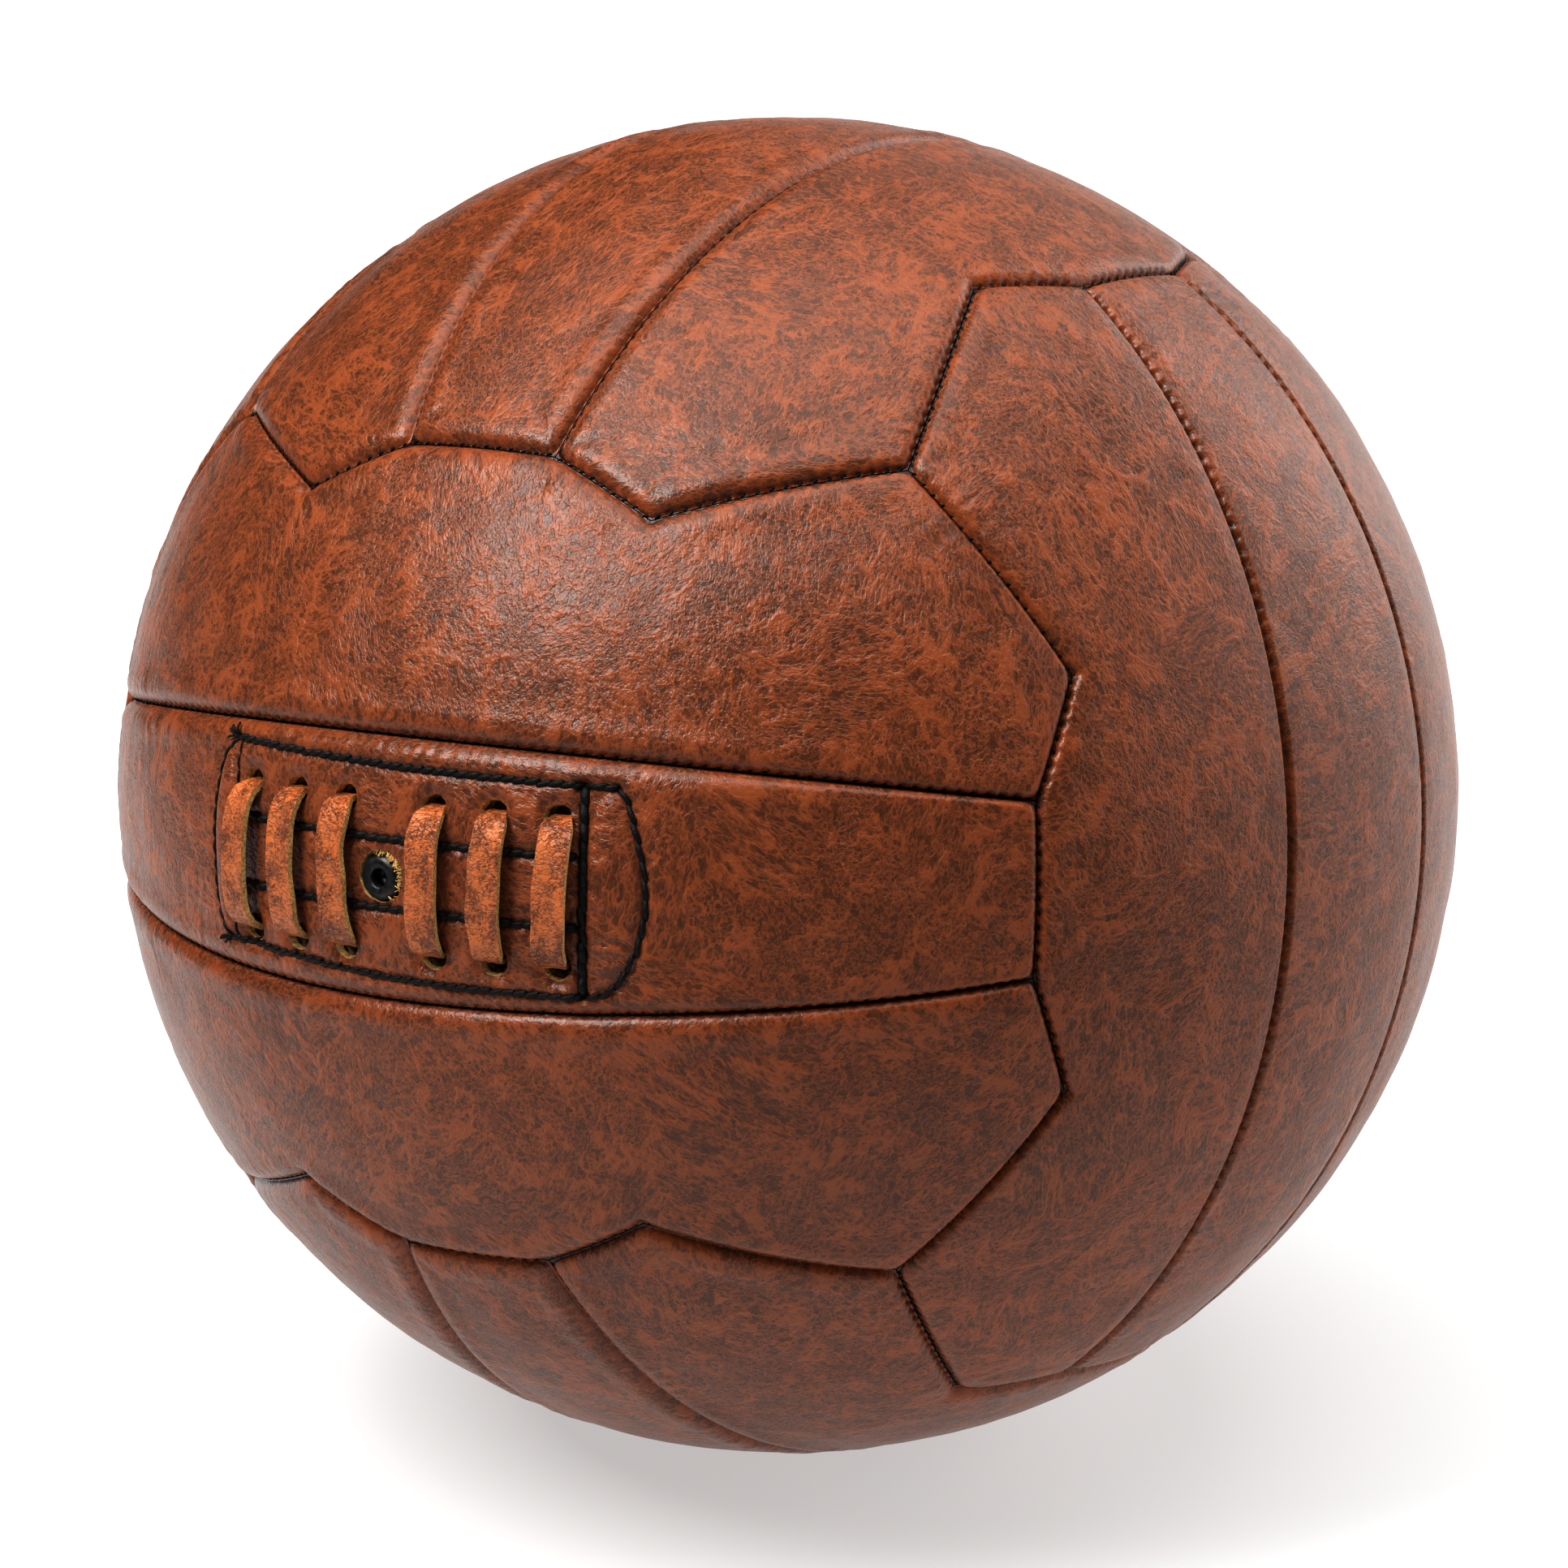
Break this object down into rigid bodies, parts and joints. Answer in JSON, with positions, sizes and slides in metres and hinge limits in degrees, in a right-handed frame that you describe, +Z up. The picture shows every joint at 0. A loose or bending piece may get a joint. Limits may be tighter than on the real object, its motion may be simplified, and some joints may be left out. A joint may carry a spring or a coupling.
{
  "type": "laced football",
  "caption": "Inflatable vintage-style ball of stitched leather strips, with a laced mouth, a needle valve between the laces, textile linings and a bladder inside.",
  "frame": {"origin": "centre of the ball", "axes": "+Z up with the ball lying on a floor as a person would set it down; -Y towards the viewer, with the laced mouth to the front left; +X to the right"},
  "size_m": [0.2198, 0.2198, 0.2192],
  "materials": {
    "cover_leather": "satin",
    "lining_textile": "matte",
    "black_thread": "matte",
    "lace_leather": "satin",
    "tongue_textile": "matte",
    "bladder_butyl": "matte",
    "valve_rubber": "satin"
  },
  "bodies": {
    "root": {"cover_front_middle": "cover_leather", "cover_front_upper": "cover_leather", "cover_front_lower": "cover_leather", "cover_back_middle": "cover_leather", "cover_back_upper": "cover_leather", "cover_back_lower": "cover_leather", "cover_right_middle": "cover_leather", "cover_right_front": "cover_leather", "cover_right_back": "cover_leather", "cover_left_middle": "cover_leather", "cover_left_front": "cover_leather", "cover_left_back": "cover_leather", "cover_top_middle": "cover_leather", "cover_top_right": "cover_leather", "cover_top_left": "cover_leather", "cover_bottom_middle": "cover_leather", "cover_bottom_right": "cover_leather", "cover_bottom_left": "cover_leather", "lining_front_middle": "lining_textile", "lining_front_upper": "lining_textile", "lining_front_lower": "lining_textile", "lining_back_middle": "lining_textile", "lining_back_upper": "lining_textile", "lining_back_lower": "lining_textile", "lining_right_middle": "lining_textile", "lining_right_front": "lining_textile", "lining_right_back": "lining_textile", "lining_left_middle": "lining_textile", "lining_left_front": "lining_textile", "lining_left_back": "lining_textile", "lining_top_middle": "lining_textile", "lining_top_right": "lining_textile", "lining_top_left": "lining_textile", "lining_bottom_middle": "lining_textile", "lining_bottom_right": "lining_textile", "lining_bottom_left": "lining_textile", "thread_ring_front": "black_thread", "thread_ring_back": "black_thread", "thread_ring_right": "black_thread", "thread_ring_left": "black_thread", "thread_ring_top": "black_thread", "thread_ring_bottom": "black_thread", "thread_star_front_right_top": "black_thread", "thread_star_front_right_bottom": "black_thread", "thread_star_front_left_top": "black_thread", "thread_star_front_left_bottom": "black_thread", "thread_star_back_right_top": "black_thread", "thread_star_back_right_bottom": "black_thread", "thread_star_back_left_top": "black_thread", "thread_star_back_left_bottom": "black_thread", "stitch_frame": "black_thread", "stitch_end_right": "black_thread", "stitch_end_left": "black_thread", "stitch_inner_upper": "black_thread", "stitch_inner_lower": "black_thread", "lace": "lace_leather", "mouth_tongue": "tongue_textile", "bladder": "bladder_butyl", "valve_boot": "valve_rubber", "valve_plug": "valve_rubber"}
  },
  "joints": []
}
